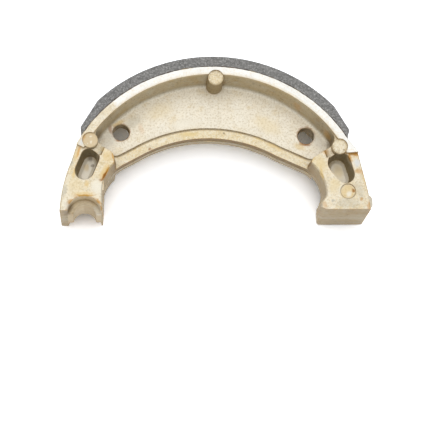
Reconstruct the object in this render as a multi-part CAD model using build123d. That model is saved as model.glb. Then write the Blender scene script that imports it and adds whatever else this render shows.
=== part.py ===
from build123d import *
import os
from math import acos, asin, atan2, cos, degrees, radians, sin, sqrt, tan

# Brake shoe for a drum 130 mm across and 28 mm wide, lying on its side.
# A die-cast aluminium shoe carries one bonded friction lining.
# The origin is where the drum's axis meets the side that the shoe lies on.
# X runs along the line from the anchor pin to the cam, +Y points out through
# the middle of the lining, and +Z is the drum's axis.
# Side A is the upper side, at z = shoe_width, and side B is the lower side.
# Lengths are in millimetres and angles in degrees, counted from +X.

# Drum and lining
drum_diameter = 130.0
drum_clearance = 0.2
lining_thickness = 4.1
lining_cam_end = 31.0
lining_anchor_end = 145.7
cam_chamfer_span = 12.2
cam_chamfer_end_thickness = 2.5
cam_end_slant = 2.2
anchor_chamfer_span = 11.6
anchor_chamfer_end_thickness = 2.2
anchor_end_slant = 0.5

# Rim that backs the lining
shoe_width = 28.0
rim_thickness = 3.2
rim_cam_end = 24.6
rim_cam_inner_end = 26.2
rim_anchor_end = 151.2
shoulder_proud = 1.1
shoulder_start = 30.4
cam_shoulder_end = 13.5
anchor_shoulder_end = 157.5

# Web and the lip along its inner edge
web_thickness = 5.0
lip_top_width = 3.3
lip_slope_width = 1.3
lip_height = 1.2
web_corner_radius = 3.9
inner_arc_radius = 53.5
inner_arc_centre = (-1.9, -19.1)
inner_arc_cam_angle = 60.0
inner_arc_anchor_angle = 120.5

# End blocks
face_drop = 1.5
anchor_outer_inset = 0.95
cam_outer_inset = 0.35
split_height = 3.1
wall_draft = 2.0
edge_break = 0.45

# Inner wall of the anchor block, seen at mid width
anchor_bend = (-42.9, 19.5)
anchor_bend_radius = 14.3
anchor_pad_proud = 0.6
anchor_pad_length = 4.2
anchor_pad_height = 13.1
anchor_pad_radius = 0.4

# Inner wall of the cam block, seen at mid width
cam_corner = (37.1, 21.6)
cam_wall_middle = (41.4, 16.0)
cam_hollow = (42.7, 9.0)
cam_toe = (40.5, 6.0)
cam_corner_radius = 3.0
cam_hollow_radius = 0.8
cam_toe_radius = 1.4
cam_toe_break = (2.4, 1.2)

# On side B the cam block's inner wall stands further back, and each corner
# moves by its own share of the setback along X and Y
cam_setback_b = 3.6
corner_setback_share = (0.4, 0.9)
middle_setback_share = (0.5, 0.9)
hollow_setback_share = (0.2, 1.0)
toe_setback_share = (0.3, 0.5)
recess_low_setback_share = (0.4, 0.6)
recess_mid_setback_share = (0.0, 0.4)

# Recess beside the web, at the level of the block faces
recess_anchor_low = (-38.75, 25.9)
recess_anchor_mid = (-42.1, 27.8)
recess_anchor_high = (-47.8, 33.4)
recess_cam_low = (37.8, 23.3)
recess_cam_mid = (43.8, 27.3)
recess_cam_high = (49.6, 31.2)
recess_draft = 4.0
recess_anchor_radius = 3.7
recess_cam_radius = 3.0
recess_rim_radius = 4.0
floor_radius = 1.5

# Blind pockets in both faces of each block
pocket_depth = 8.6
pocket_draft = 9.0
pocket_floor_break = 1.0
anchor_pocket_low = (-50.2, 18.9)
anchor_pocket_low_radius = 3.7
anchor_pocket_high = (-48.0, 24.2)
anchor_pocket_high_radius = 3.7
cam_pocket_low = (50.9, 17.1)
cam_pocket_low_radius = 3.6
cam_pocket_high = (48.7, 21.6)
cam_pocket_high_radius = 4.6

# Low saddles in the walls between the pockets and the recess
saddle_radius = 2.9
saddle_depth = 2.0
saddle_length = 5.0
anchor_saddle = (-45.2, 28.4)
anchor_saddle_heading = 66.0
cam_saddle = (45.6, 27.0)
cam_saddle_heading = 108.0

# Stepped half bore that rides on the anchor pin
pin_centre = (-50.3, 2.1)
pin_land_diameter = 9.1
pin_counterbore_diameter = 13.0
pin_counterbore_depth = 5.4
bore_chamfer = 0.35

# Holes in the web for the return springs
spring_hole_diameter = 6.5
spring_hole_chamfer = 0.3
anchor_spring_hole = (-36.0, 37.2)
cam_spring_hole = (37.2, 35.7)

# Ejector marks on side A
boss_diameter = 6.0
boss_drop = 0.6
boss_draft = 1.0
boss_places = [(-48.0, 30.8), (1.1, 56.3), (49.0, 28.1)]
mark_place = (51.6, 10.3)
mark_diameter = 5.8
mark_depth = 0.25

# Runner stub trimmed off the outside of the cam block
stub_proud = 3.2
stub_length = 4.9
stub_height = 4.0
stub_centre_y = 8.8
stub_chamfer = 1.0

# Values that follow from the ones above
lining_outer = drum_diameter / 2 - drum_clearance
rim_outer = lining_outer - lining_thickness
rim_inner = rim_outer - rim_thickness
anchor_outer = rim_outer - anchor_outer_inset
cam_outer = rim_outer - cam_outer_inset
mid_width = shoe_width / 2
block_half_height = mid_width - face_drop
web_half = web_thickness / 2
lip_half = web_half + lip_height
reach = drum_diameter
overrun = 2 * face_drop


def polar(radius, angle):
    """Point at a radius and an angle about the drum's axis."""
    return (radius * cos(radians(angle)), radius * sin(radians(angle)))


def set_back(point, setback, share):
    """Point moved by its share of a setback."""
    return (point[0] + setback * share[0], point[1] + setback * share[1])


def nearest_vertex(sketch, point):
    """Corner of a sketch that lies closest to a point."""
    return sketch.vertices().sort_by_distance(Vector(*point))[0]


def round_corners(sketch, corners):
    """Round chosen corners of a sketch, each with its own radius."""
    for point, radius in corners:
        sketch = fillet(nearest_vertex(sketch, point), radius)
    return sketch


def arc_band(inner, outer, first, last):
    """Flat band between two radii and two angles about the drum's axis."""
    middle = (first + last) / 2
    outer_arc = ThreePointArc(polar(outer, first), polar(outer, middle), polar(outer, last))
    inner_arc = ThreePointArc(polar(inner, last), polar(inner, middle), polar(inner, first))
    ends = [Line(outer_arc @ 1, inner_arc @ 0), Line(inner_arc @ 1, outer_arc @ 0)]
    return make_face([outer_arc, inner_arc] + ends)


def opening_outline(setback):
    """Space inside the shoe's inner edge, with the cam block's wall set back."""
    low = -reach / 2
    centre = Vector(*inner_arc_centre)
    arc_cam = centre + Vector(*polar(inner_arc_radius, inner_arc_cam_angle))
    arc_top = centre + Vector(0, inner_arc_radius)
    arc_anchor = centre + Vector(*polar(inner_arc_radius, inner_arc_anchor_angle))
    corner = set_back(cam_corner, setback, corner_setback_share)
    hollow = set_back(cam_hollow, setback, hollow_setback_share)
    toe = set_back(cam_toe, setback, toe_setback_share)
    wall_middle = set_back(cam_wall_middle, setback, middle_setback_share)
    edges = [
        Polyline(arc_anchor, anchor_bend, (anchor_bend[0], low), (toe[0], low), toe, hollow),
        ThreePointArc(hollow, wall_middle, corner),
        Line(corner, arc_cam),
        ThreePointArc(arc_cam, arc_top, arc_anchor),
    ]
    outline = make_face(edges)
    return round_corners(
        outline,
        [
            (anchor_bend, anchor_bend_radius),
            (corner, cam_corner_radius),
            (hollow, cam_hollow_radius),
            (toe, cam_toe_radius),
        ],
    )


def outer_outline():
    """Outside of the shoe, with a shoulder where each block meets the rim."""
    anchor_side = Circle(anchor_outer) & Pos(-reach / 2, reach / 2) * Rectangle(reach, reach)
    cam_side = Circle(cam_outer) & Pos(reach / 2, reach / 2) * Rectangle(reach, reach)
    cam_shoulder = Polygon(
        polar(rim_inner, cam_shoulder_end),
        polar(cam_outer, cam_shoulder_end),
        polar(rim_outer + shoulder_proud, rim_cam_end),
        polar(rim_outer, shoulder_start),
        polar(rim_inner, shoulder_start),
        align=None,
    )
    anchor_shoulder = Polygon(
        polar(rim_inner, 2 * rim_anchor_end - anchor_shoulder_end),
        polar(rim_outer, rim_anchor_end),
        polar(anchor_outer, anchor_shoulder_end),
        polar(rim_inner, anchor_shoulder_end),
        align=None,
    )
    return anchor_side + cam_side + cam_shoulder + anchor_shoulder


def half_body(direction, setback):
    """Half of the casting from mid width to one block face, with a drafted inner wall."""
    rise = direction * block_half_height
    half = extrude(Pos(0, 0, mid_width) * outer_outline(), amount=rise)
    opening = Pos(0, 0, mid_width) * opening_outline(setback)
    half -= extrude(opening, amount=rise, taper=-wall_draft)
    face_point = Vector(*mark_place, mid_width + rise)
    block_face = half.faces().sort_by_distance(face_point)[0]
    edges = block_face.edges().filter_by(lambda edge: (edge @ 0.5).Y > split_height / 2)
    return chamfer(edges, edge_break)


def recess_outline(setback):
    """Space beside the web, seen at the block faces, open to the inner side."""
    cam_low = set_back(recess_cam_low, setback, recess_low_setback_share)
    cam_mid = set_back(recess_cam_mid, setback, recess_mid_setback_share)
    outline = Polygon(
        (recess_anchor_low[0], -split_height),
        (cam_low[0], -split_height),
        cam_low,
        cam_mid,
        recess_cam_high,
        (recess_cam_high[0], reach / 2),
        (recess_anchor_high[0], reach / 2),
        recess_anchor_high,
        recess_anchor_mid,
        recess_anchor_low,
        align=None,
    )
    outline &= Circle(rim_inner)
    cam_end = polar(rim_inner, degrees(asin(recess_cam_high[1] / rim_inner)))
    anchor_end = polar(rim_inner, 180 - degrees(asin(recess_anchor_high[1] / rim_inner)))
    return round_corners(
        outline,
        [
            (recess_anchor_low, recess_anchor_radius),
            (cam_low, recess_cam_radius),
            (cam_end, recess_rim_radius),
            (anchor_end, recess_rim_radius),
        ],
    )


def recess_cutter(direction, setback):
    """Drafted recess from a block face down to the web, with a rounded floor edge."""
    outline = recess_outline(setback)
    face_z = mid_width + direction * block_half_height
    depth = block_half_height - web_half
    cutter = extrude(Pos(0, 0, face_z) * outline, amount=-direction * depth, taper=recess_draft)
    floor_z = mid_width + direction * web_half
    floor = cutter.faces().sort_by_distance(Vector(0, rim_inner / 2, floor_z))[0]
    cutter = fillet(floor.edges(), floor_radius)
    return cutter + extrude(Pos(0, 0, face_z) * outline, amount=direction * overrun)


def rim_band():
    """Full-width rim under the lining, thicker past the lining's cam end."""
    band = arc_band(rim_inner, rim_outer, rim_cam_inner_end, rim_anchor_end)
    thick_end = Polygon(
        polar(rim_inner, rim_cam_inner_end),
        polar(rim_outer + shoulder_proud, rim_cam_end),
        polar(rim_outer, shoulder_start),
        polar(rim_inner, shoulder_start),
        align=None,
    )
    return extrude(band + thick_end, amount=shoe_width)


def lip(direction, setback):
    """Lip on one side of the web, along the inner edge and round the web's corners."""
    recess = recess_outline(setback)
    inner_edge = offset(opening_outline(0), lip_top_width, kind=Kind.ARC)
    top_radius = web_corner_radius + lip_slope_width
    web = offset(recess - inner_edge, -top_radius, kind=Kind.ARC)
    web = offset(web, top_radius, kind=Kind.ARC)
    slant = degrees(atan2(lip_slope_width, lip_height))
    top_z = mid_width + direction * lip_half
    slab = extrude(Pos(0, 0, top_z) * recess, amount=-direction * lip_half)
    return slab - extrude(Pos(0, 0, top_z) * web, amount=-direction * lip_half, taper=slant)


def pocket_outline(low, low_radius, high, high_radius):
    """Two circles of different size joined by their outer tangents."""
    axis = Vector(*high) - Vector(*low)
    heading = degrees(atan2(axis.Y, axis.X))
    lean = degrees(acos((low_radius - high_radius) / axis.length))

    def rim_point(centre, radius, angle):
        return Vector(*centre) + Vector(*polar(radius, heading + angle))

    low_arc = ThreePointArc(
        rim_point(low, low_radius, lean),
        rim_point(low, low_radius, 180),
        rim_point(low, low_radius, -lean),
    )
    high_arc = ThreePointArc(
        rim_point(high, high_radius, -lean),
        rim_point(high, high_radius, 0),
        rim_point(high, high_radius, lean),
    )
    sides = [Line(low_arc @ 1, high_arc @ 0), Line(high_arc @ 1, low_arc @ 0)]
    return make_face([low_arc, high_arc] + sides)


def pocket_cutter(direction, low, low_radius, high, high_radius):
    """Blind pocket with drafted walls and a broken floor edge."""
    shrink = pocket_depth * tan(radians(pocket_draft))
    face_z = mid_width + direction * block_half_height
    floor_z = face_z - direction * pocket_depth
    mouth = pocket_outline(low, low_radius, high, high_radius)
    floor = pocket_outline(low, low_radius - shrink, high, high_radius - shrink)
    cutter = loft([Pos(0, 0, floor_z) * floor, Pos(0, 0, face_z) * mouth], ruled=True)
    floor_face = cutter.faces().sort_by_distance(Vector(*low, floor_z))[0]
    cutter = chamfer(floor_face.edges(), pocket_floor_break)
    return cutter + extrude(Pos(0, 0, face_z) * mouth, amount=direction * overrun)


def saddle_cutter(direction, place, heading):
    """Round notch across the wall between a pocket and the recess."""
    face_z = mid_width + direction * block_half_height
    axis_z = face_z + direction * (saddle_radius - saddle_depth)
    bar = Rotation(0, 0, heading) * Rotation(0, 90, 0) * Cylinder(saddle_radius, saddle_length)
    return Pos(*place, axis_z) * bar


def pin_bore():
    """Stepped half bore, wide at both faces with a narrow land between."""
    bore = Pos(*pin_centre, mid_width) * Cylinder(pin_land_diameter / 2, 2 * shoe_width)
    for direction in (1, -1):
        face_z = mid_width + direction * block_half_height
        wide = pin_counterbore_diameter / 2
        depth = pin_counterbore_depth
        floor_z = face_z - direction * depth
        bore += Pos(*pin_centre, face_z) * Cylinder(wide, 2 * depth)
        land_chamfer = Cone(
            pin_land_diameter / 2, pin_land_diameter / 2 + bore_chamfer, bore_chamfer
        )
        turn = Rotation(0 if direction > 0 else 180, 0, 0)
        bore += Pos(*pin_centre, floor_z - direction * bore_chamfer / 2) * turn * land_chamfer
        face_chamfer = Cone(wide, wide + bore_chamfer, bore_chamfer)
        bore += Pos(*pin_centre, face_z - direction * bore_chamfer / 2) * turn * face_chamfer
    return bore


def spring_hole(place):
    """Through hole in the web with both edges broken."""
    radius = spring_hole_diameter / 2
    hole = Pos(*place, mid_width) * Cylinder(radius, web_thickness + 2 * lip_height)
    for direction in (1, -1):
        face_z = mid_width + direction * web_half
        wide = radius + spring_hole_chamfer
        cone = Cone(radius, wide, spring_hole_chamfer)
        turn = Rotation(0 if direction > 0 else 180, 0, 0)
        hole += Pos(*place, face_z - direction * spring_hole_chamfer / 2) * turn * cone
    return hole


def ejector_boss(place):
    """Round column that an ejector pin pushed on, standing on the web."""
    top = shoe_width - boss_drop
    column = Pos(*place, top) * Circle(boss_diameter / 2)
    return extrude(column, amount=-(top - mid_width), taper=-boss_draft)


def boss_clearance(place):
    """Space over a boss, where the rim's machined side is broken by its end."""
    return Pos(*place, shoe_width) * Cylinder(boss_diameter / 2, 2 * boss_drop)


def runner_stub():
    """Trimmed runner stub on the outside of the cam block, at mid width."""
    root = cam_outer - stub_proud
    tip = sqrt(cam_outer**2 - stub_centre_y**2) + stub_proud
    width = tip - root
    stub = Pos((root + tip) / 2, stub_centre_y, mid_width) * Box(width, stub_length, stub_height)
    tip_face = stub.faces().sort_by(Axis.X)[-1]
    return chamfer(tip_face.edges(), stub_chamfer)


def anchor_pad():
    """Low pad on the anchor block's inner wall, above mid width."""
    height = block_half_height - edge_break
    slope = block_half_height * tan(radians(wall_draft))
    width = 2 * anchor_pad_proud + slope
    right = anchor_bend[0] - slope + anchor_pad_proud
    pad = Box(width, anchor_pad_length, height, align=(Align.MAX, Align.CENTER, Align.MIN))
    pad = fillet(pad.edges().filter_by(Axis.Z).group_by(Axis.X)[-1], anchor_pad_radius)
    return Pos(right, anchor_pad_height, mid_width) * pad


def toe_break():
    """Corner taken off the cam block's toe where it meets the cam face."""
    along, up = cam_toe_break
    left = cam_toe[0] - along
    corner = Polygon(
        (left, split_height - along),
        (cam_toe[0] + along, split_height - along),
        (cam_toe[0] + along, split_height),
        (cam_toe[0], split_height + up),
        (left, split_height + 2 * up),
        align=None,
    )
    return extrude(corner, amount=shoe_width)


def shoe_casting():
    """Die-cast shoe: two end blocks, the web, its lip, the rim and the bosses."""
    body = half_body(1, 0) + half_body(-1, cam_setback_b)
    body += rim_band()
    body -= recess_cutter(1, 0)
    body -= recess_cutter(-1, cam_setback_b)
    body += lip(1, 0) + lip(-1, cam_setback_b)
    body -= extrude(Pos(0, 0, mid_width - lip_half) * opening_outline(0), amount=2 * lip_half)
    body += runner_stub()
    body += anchor_pad()
    for direction in (1, -1):
        body -= pocket_cutter(
            direction,
            anchor_pocket_low,
            anchor_pocket_low_radius,
            anchor_pocket_high,
            anchor_pocket_high_radius,
        )
        body -= pocket_cutter(
            direction, cam_pocket_low, cam_pocket_low_radius, cam_pocket_high, cam_pocket_high_radius
        )
        body -= saddle_cutter(direction, anchor_saddle, anchor_saddle_heading)
        body -= saddle_cutter(direction, cam_saddle, cam_saddle_heading)
    for place in boss_places:
        body += ejector_boss(place)
        body -= boss_clearance(place)
    body -= Pos(0, split_height - reach / 2, mid_width) * Box(2 * reach, reach, 2 * shoe_width)
    body -= pin_bore()
    body -= toe_break()
    for place in (anchor_spring_hole, cam_spring_hole):
        body -= spring_hole(place)
    mark_z = mid_width + block_half_height
    body -= Pos(*mark_place, mark_z) * Cylinder(mark_diameter / 2, 2 * mark_depth)
    return body


def friction_lining():
    """Moulded lining bonded to the rim, with both ends chamfered."""
    cam_tip_radius = rim_outer + cam_chamfer_end_thickness
    anchor_tip_radius = rim_outer + anchor_chamfer_end_thickness
    cam_foot = polar(rim_outer, lining_cam_end)
    cam_tip = polar(cam_tip_radius, lining_cam_end + cam_end_slant)
    cam_shoulder = polar(lining_outer, lining_cam_end + cam_chamfer_span)
    anchor_foot = polar(rim_outer, lining_anchor_end)
    anchor_tip = polar(anchor_tip_radius, lining_anchor_end - anchor_end_slant)
    anchor_shoulder = polar(lining_outer, lining_anchor_end - anchor_chamfer_span)
    middle = (lining_cam_end + lining_anchor_end) / 2
    outer_arc = ThreePointArc(cam_shoulder, polar(lining_outer, middle), anchor_shoulder)
    inner_arc = ThreePointArc(anchor_foot, polar(rim_outer, middle), cam_foot)
    anchor_side = Polyline(anchor_shoulder, anchor_tip, anchor_foot)
    cam_side = Polyline(cam_foot, cam_tip, cam_shoulder)
    profile = make_face([outer_arc, anchor_side, inner_arc, cam_side])
    return extrude(profile, amount=shoe_width)


os.makedirs("parts", exist_ok=True)
export_step(shoe_casting(), "parts/shoe_casting.step")
export_step(friction_lining(), "parts/friction_lining.step")
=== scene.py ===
import logging
import math
from dataclasses import dataclass
from enum import Enum
from functools import cached_property
from typing import Any, Sequence

import bpy
import numpy as np
from mathutils import Matrix, Vector


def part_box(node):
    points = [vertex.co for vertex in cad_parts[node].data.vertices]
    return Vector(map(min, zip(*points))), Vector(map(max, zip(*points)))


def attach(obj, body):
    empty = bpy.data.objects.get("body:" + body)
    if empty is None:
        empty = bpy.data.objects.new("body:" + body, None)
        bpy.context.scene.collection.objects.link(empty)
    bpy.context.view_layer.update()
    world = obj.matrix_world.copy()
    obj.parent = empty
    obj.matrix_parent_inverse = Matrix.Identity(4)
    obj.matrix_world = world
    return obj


# A drum brake shoe lying on a white table: the finishes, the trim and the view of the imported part.
# Sizes are in millimetres where nothing else is said, and Blender's are in metres.

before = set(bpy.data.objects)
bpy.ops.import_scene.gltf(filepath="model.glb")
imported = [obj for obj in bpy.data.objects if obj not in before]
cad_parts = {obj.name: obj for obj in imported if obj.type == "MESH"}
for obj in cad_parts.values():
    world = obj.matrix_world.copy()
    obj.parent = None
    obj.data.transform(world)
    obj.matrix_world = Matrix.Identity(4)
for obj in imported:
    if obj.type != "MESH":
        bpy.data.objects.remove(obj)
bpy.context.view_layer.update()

LOG = logging.getLogger("brake_shoe")
MM = 0.001
CASTING_NODE = "shoe_casting"
LINING_NODE = "friction_lining"
BODY = "root"

Colour = tuple[float, float, float]
Point = tuple[float, float]
Place = tuple[float, float, float]
Span = tuple[float, float]
FLAT = (1.0, 1.0, 0.0)  # keeps X and Y

# Heights of the shoe's surfaces above the table, and of its mid width.
RIM, BOSS, BLOCK = 28.0, 27.4, 26.5
POCKET, LIP, WEB = 18.0, 17.7, 16.5
MIDDLE = 14.0


def srgb(red: float, green: float, blue: float) -> Colour:
    """Linear colour of an 8-bit display colour.

    Args:
        red, green, blue: display values from 0 to 255.

    Returns:
        The colour as linear values from 0 to 1.
    """

    def linear(value: float) -> float:
        """Linear value of one channel."""
        share = value / 255.0
        return share / 12.92 if share <= 0.04045 else ((share + 0.055) / 1.055) ** 2.4

    return (linear(red), linear(green), linear(blue))


class Tone(Enum):
    """Colours found on the shoe, as display colours."""

    CREAM = (238, 225, 196)
    PALE = (243, 237, 220)
    TAN = (229, 209, 166)
    CHALK = (222, 217, 203)
    YELLOW = (231, 208, 150)
    GOLD = (226, 196, 128)
    ORANGE = (214, 160, 88)
    OCHRE = (200, 146, 50)
    RUST = (156, 98, 26)
    BROWN = (158, 108, 58)
    UMBER = (96, 72, 44)
    OLIVE = (176, 156, 112)
    LATTE = (214, 192, 152)
    WEB = (247, 241, 226)
    SLATE = (196, 190, 172)
    MACHINED = (227, 226, 221)
    BARE = (226, 220, 204)
    GREY = (148, 147, 145)
    GREY_DARK = (104, 103, 101)
    GREY_LIGHT = (196, 195, 192)
    GROUND = (158, 157, 154)
    ADHESIVE = (66, 54, 40)

    @property
    def colour(self) -> Colour:
        """The tone as a linear colour."""
        return srgb(*self.value)


class Shade(Enum):
    """Painted shade: multipliers that darken the skin where it is closed in or upright, where shade
    falls.
    """

    WALL = (0.48, 0.41, 0.29)
    RIM_WALL = (0.71, 0.68, 0.61)
    BOSS_SIDE = (0.68, 0.63, 0.52)
    BACK_WALL = (0.56, 0.44, 0.24)
    POCKET = (0.54, 0.51, 0.43)
    LIP_FOOT = (0.30, 0.24, 0.15)
    HOLE = (0.66, 0.57, 0.44)
    CORNER = (0.62, 0.53, 0.38)
    HOLLOW = (0.62, 0.54, 0.40)
    SEAM = (0.50, 0.48, 0.45)

    @property
    def colour(self) -> Colour:
        """The multipliers as a linear colour."""
        return self.value


class Axis(Enum):
    """Parts of a vector."""

    X = 0
    Y = 1
    Z = 2


class Wire:
    """An output socket that adds Math nodes when it is used in a sum."""

    def __init__(self, board: "Board", socket: Any) -> None:
        """Keep the board and the socket.

        Args:
            board: the material's board.
            socket: the output socket.
        """
        self.board = board
        self.socket = socket

    def _math(self, operation: str, *terms: Any) -> "Wire":
        """Math node with these terms."""
        inputs = dict(enumerate(terms))
        return self.board.node("ShaderNodeMath", {"operation": operation}, inputs)

    def __add__(self, other: Any) -> "Wire":
        """Sum."""
        return self._math("ADD", self, other)

    __radd__ = __add__

    def __sub__(self, other: Any) -> "Wire":
        """Difference."""
        return self._math("SUBTRACT", self, other)

    def __rsub__(self, other: Any) -> "Wire":
        """Difference, reflected."""
        return self._math("SUBTRACT", other, self)

    def __mul__(self, other: Any) -> "Wire":
        """Product."""
        return self._math("MULTIPLY", self, other)

    __rmul__ = __mul__

    def __abs__(self) -> "Wire":
        """Size without its sign."""
        return self._math("ABSOLUTE", self)

    def most(self, other: Any) -> "Wire":
        """The larger of two values."""
        return self._math("MAXIMUM", self, other)

    def sine(self) -> "Wire":
        """Sine of an angle in radians."""
        return self._math("SINE", self)

    def step(self, low: float, high: float, start: float = 0.0, end: float = 1.0) -> "Wire":
        """Smooth step from start at low to end at high.

        Args:
            low: value at which the step starts.
            high: value at which it ends.
            start: result below low.
            end: result above high.

        Returns:
            The stepped value.
        """
        settings = {"interpolation_type": "SMOOTHSTEP"}
        if low > high:
            low, high, start, end = high, low, end, start
        inputs = {"Value": self, "From Min": low, "From Max": high, "To Min": start, "To Max": end}
        return self.board.node("ShaderNodeMapRange", settings, inputs)


class Board:
    """The node tree of a material or of the world, and the colour painted on it so far."""

    WARP_GRAIN = 3.0
    WARP_PUSH = 2.0
    WALL_TILT = (0.92, 0.35)

    def __init__(self, owner: Any, base: Any = None) -> None:
        """Empty the owner's node tree.

        Args:
            owner: the material or the world.
            base: the colour under all layers.
        """
        owner.use_nodes = True
        self.owner = owner
        self.tree = owner.node_tree
        self.tree.nodes.clear()
        self.colour = base

    @cached_property
    def place(self) -> Wire:
        """Object coordinates in millimetres."""
        coords = self.node("ShaderNodeTexCoord", out="Object")
        return self.node("ShaderNodeMapping", inputs={"Vector": coords, "Scale": (1 / MM,) * 3})

    @cached_property
    def wavy(self) -> Wire:
        """The same coordinates, pushed about by noise.

        Returns:
            The coordinates.
        """
        cloud = self.noise(self.WARP_GRAIN, 2.0, 0.5, out="Color")
        centred = self.vector("SUBTRACT", cloud, (0.5, 0.5, 0.5))
        scaling = {0: centred, "Scale": self.WARP_PUSH}
        push = self.node("ShaderNodeVectorMath", {"operation": "SCALE"}, scaling)
        return self.vector("ADD", self.place, push)

    @cached_property
    def normal(self) -> Wire:
        """The surface's true normal."""
        return self.node("ShaderNodeNewGeometry", out="Normal")

    @cached_property
    def tilt(self) -> Wire:
        """1 where the surface is level, 0 where it is upright."""
        return abs(self.part(self.normal, Axis.Z))

    @cached_property
    def wall(self) -> Wire:
        """Mask of the upright surfaces."""
        return self.tilt.step(*self.WALL_TILT)

    def node(
        self, kind: str, settings: dict | None = None, inputs: dict | None = None, out: Any = 0
    ) -> Wire:
        """Make one node.

        Args:
            kind: the node's type.
            settings: its properties.
            inputs: values or wires of its sockets, by name or number.
            out: the output that is returned.

        Returns:
            The chosen output as a wire, which is empty for a node without outputs.
        """
        made = self.tree.nodes.new(kind)
        for key, value in (settings or {}).items():
            setattr(made, key, value)
        for key, value in (inputs or {}).items():
            self._feed(made.inputs[key], value)
        return Wire(self, made.outputs[out] if len(made.outputs) else None)

    def beside(self, wire: Wire, out: str) -> Wire:
        """Another output of the node that a wire comes from."""
        return Wire(self, wire.socket.node.outputs[out])

    def _feed(self, socket: Any, value: Any) -> None:
        """Link a wire to a socket, or set the socket's value, which may be a tone or a shade.

        Args:
            socket: the input socket.
            value: a wire, a number, a colour, a tone or a shade.
        """
        if isinstance(value, (Tone, Shade)):
            value = value.colour
        if isinstance(value, Wire):
            self.tree.links.new(value.socket, socket)
        elif socket.type == "RGBA" and len(value) == 3:
            socket.default_value = (*value, 1.0)
        else:
            socket.default_value = value

    def mix(self, factor: Any, first: Any, second: Any, blend: str = "MIX") -> Wire:
        """Colour between the first and the second, or their product for MULTIPLY."""
        settings = {"data_type": "RGBA", "blend_type": blend, "clamp_factor": True}
        return self.node("ShaderNodeMix", settings, {0: factor, 6: first, 7: second}, 2)

    def vector(self, operation: str, first: Any, second: Any = None, out: Any = 0) -> Wire:
        """Vector Math node.

        Args:
            operation: the node's operation.
            first: its first vector.
            second: its second vector, where it takes one.
            out: the output that is returned.

        Returns:
            The result.
        """
        inputs = {0: first}
        if second is not None:
            inputs[1] = second
        return self.node("ShaderNodeVectorMath", {"operation": operation}, inputs, out)

    def part(self, vector: Wire, axis: Axis) -> Wire:
        """One part of a vector."""
        return self.node("ShaderNodeSeparateXYZ", inputs={0: vector}, out=axis.value)

    def reach(self, centre: Point = (0.0, 0.0)) -> Wire:
        """Distance from an upright axis, which is the drum's own unless a centre is given."""
        arm = self.vector("SUBTRACT", self.place, (*centre, 0.0))
        return self.vector("LENGTH", self.vector("MULTIPLY", arm, FLAT), out="Value")

    def noise(
        self,
        grain: float,
        detail: float = 3.0,
        roughness: float = 0.55,
        place: Wire | None = None,
        out: Any = 0,
    ) -> Wire:
        """Noise from 0 to 1.

        Args:
            grain: rough size of a blotch, in millimetres.
            detail: octaves.
            roughness: strength of the finer octaves.
            place: coordinates, where they aren't the board's own.
            out: the output that is returned.

        Returns:
            The noise.
        """
        inputs = {"Scale": 1.0 / grain, "Detail": detail, "Roughness": roughness}
        inputs["Vector"] = place or self.place
        return self.node("ShaderNodeTexNoise", inputs=inputs, out=out)

    def specks(self, spacing: float, size: float, share: float) -> Wire:
        """Mask of scattered round specks.

        Args:
            spacing: distance between cells, in millimetres.
            size: a speck's radius as a share of the spacing.
            share: share of cells that hold a speck.

        Returns:
            The mask.
        """
        settings = {"feature": "F1"}
        inputs = {"Vector": self.place, "Scale": 1.0 / spacing, "Randomness": 1.0}
        cells = self.node("ShaderNodeTexVoronoi", settings, inputs, "Distance")
        chosen = self.part(self.beside(cells, "Color"), Axis.X).step(share + 0.02, share)
        return cells.step(size, size * 0.5) * chosen

    def close_up(self, reach: float, samples: int) -> Wire:
        """How open the surface is, from 0 in a deep corner to 1 in the open."""
        settings = {"samples": samples}
        return self.node("ShaderNodeAmbientOcclusion", settings, {"Distance": reach * MM}, "AO")

    def rounded(self, radius: float, samples: int = 6) -> Wire:
        """Normal with the edges rounded by a radius in millimetres."""
        return self.node("ShaderNodeBevel", {"samples": samples}, {"Radius": radius * MM})

    def bump(self, height: Wire, strength: float, depth: float, normal: Wire | None = None) -> Wire:
        """Bumped normal.

        Args:
            height: the relief, about 0 to 1.
            strength: the bump's strength.
            depth: the relief's depth in millimetres.
            normal: the normal that it starts from, where it isn't the surface's own.

        Returns:
            The normal.
        """
        inputs = {"Strength": strength, "Distance": depth * MM, "Height": height}
        if normal is not None:
            inputs["Normal"] = normal
        return self.node("ShaderNodeBump", inputs=inputs)

    def output(self, shader: Wire, kind: str = "ShaderNodeOutputMaterial") -> Any:
        """Link a shader to the output.

        Args:
            shader: the shader.
            kind: the output node's type.

        Returns:
            The finished material or world.
        """
        self.node(kind, inputs={"Surface": shader})
        return self.owner

    def over(self, mask: Wire, tone: Any) -> None:
        """Paint a tone or a colour where the mask is."""
        self.colour = self.mix(mask, self.colour, tone)

    def darken(self, mask: Wire, shade: Any) -> None:
        """Multiply the colour by a shade where the mask is."""
        self.colour = self.mix(mask, self.colour, shade, "MULTIPLY")

    def mottle(self, blotches: Sequence["Blotch"], mask: Any = 1.0) -> None:
        """Paint blotches where the mask is.

        Args:
            blotches: the blotches, in the order of painting.
            mask: share of their cover, from 0 to 1.
        """
        for blotch in blotches:
            place = self.wavy if blotch.wavy else self.place
            noise = self.noise(blotch.grain, blotch.detail, blotch.roughness, place)
            self.over(noise.step(*blotch.span) * blotch.cover * mask, blotch.tone)

    def stain(self, mark: "Mark") -> None:
        """Paint a mark, which may be painted shade or light: strongest inside its ellipsoid, fading
        to nothing at its edge.

        Args:
            mark: the mark.
        """
        settings = {"gradient_type": "SPHERICAL"}
        ball = self.node("ShaderNodeTexGradient", settings, {"Vector": self.wavy}, "Fac")
        ball.socket.node.label = mark.name
        local = ball.socket.node.texture_mapping
        local.vector_type = "TEXTURE"
        local.translation = mark.at
        local.rotation = (0.0, 0.0, math.radians(mark.turn))
        local.scale = mark.size
        self.over(ball.step(0.0, mark.soft, 0.0, mark.strength), mark.tone)

    def height(self) -> Wire:
        """Height above the table."""
        return self.part(self.place, Axis.Z)

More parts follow.
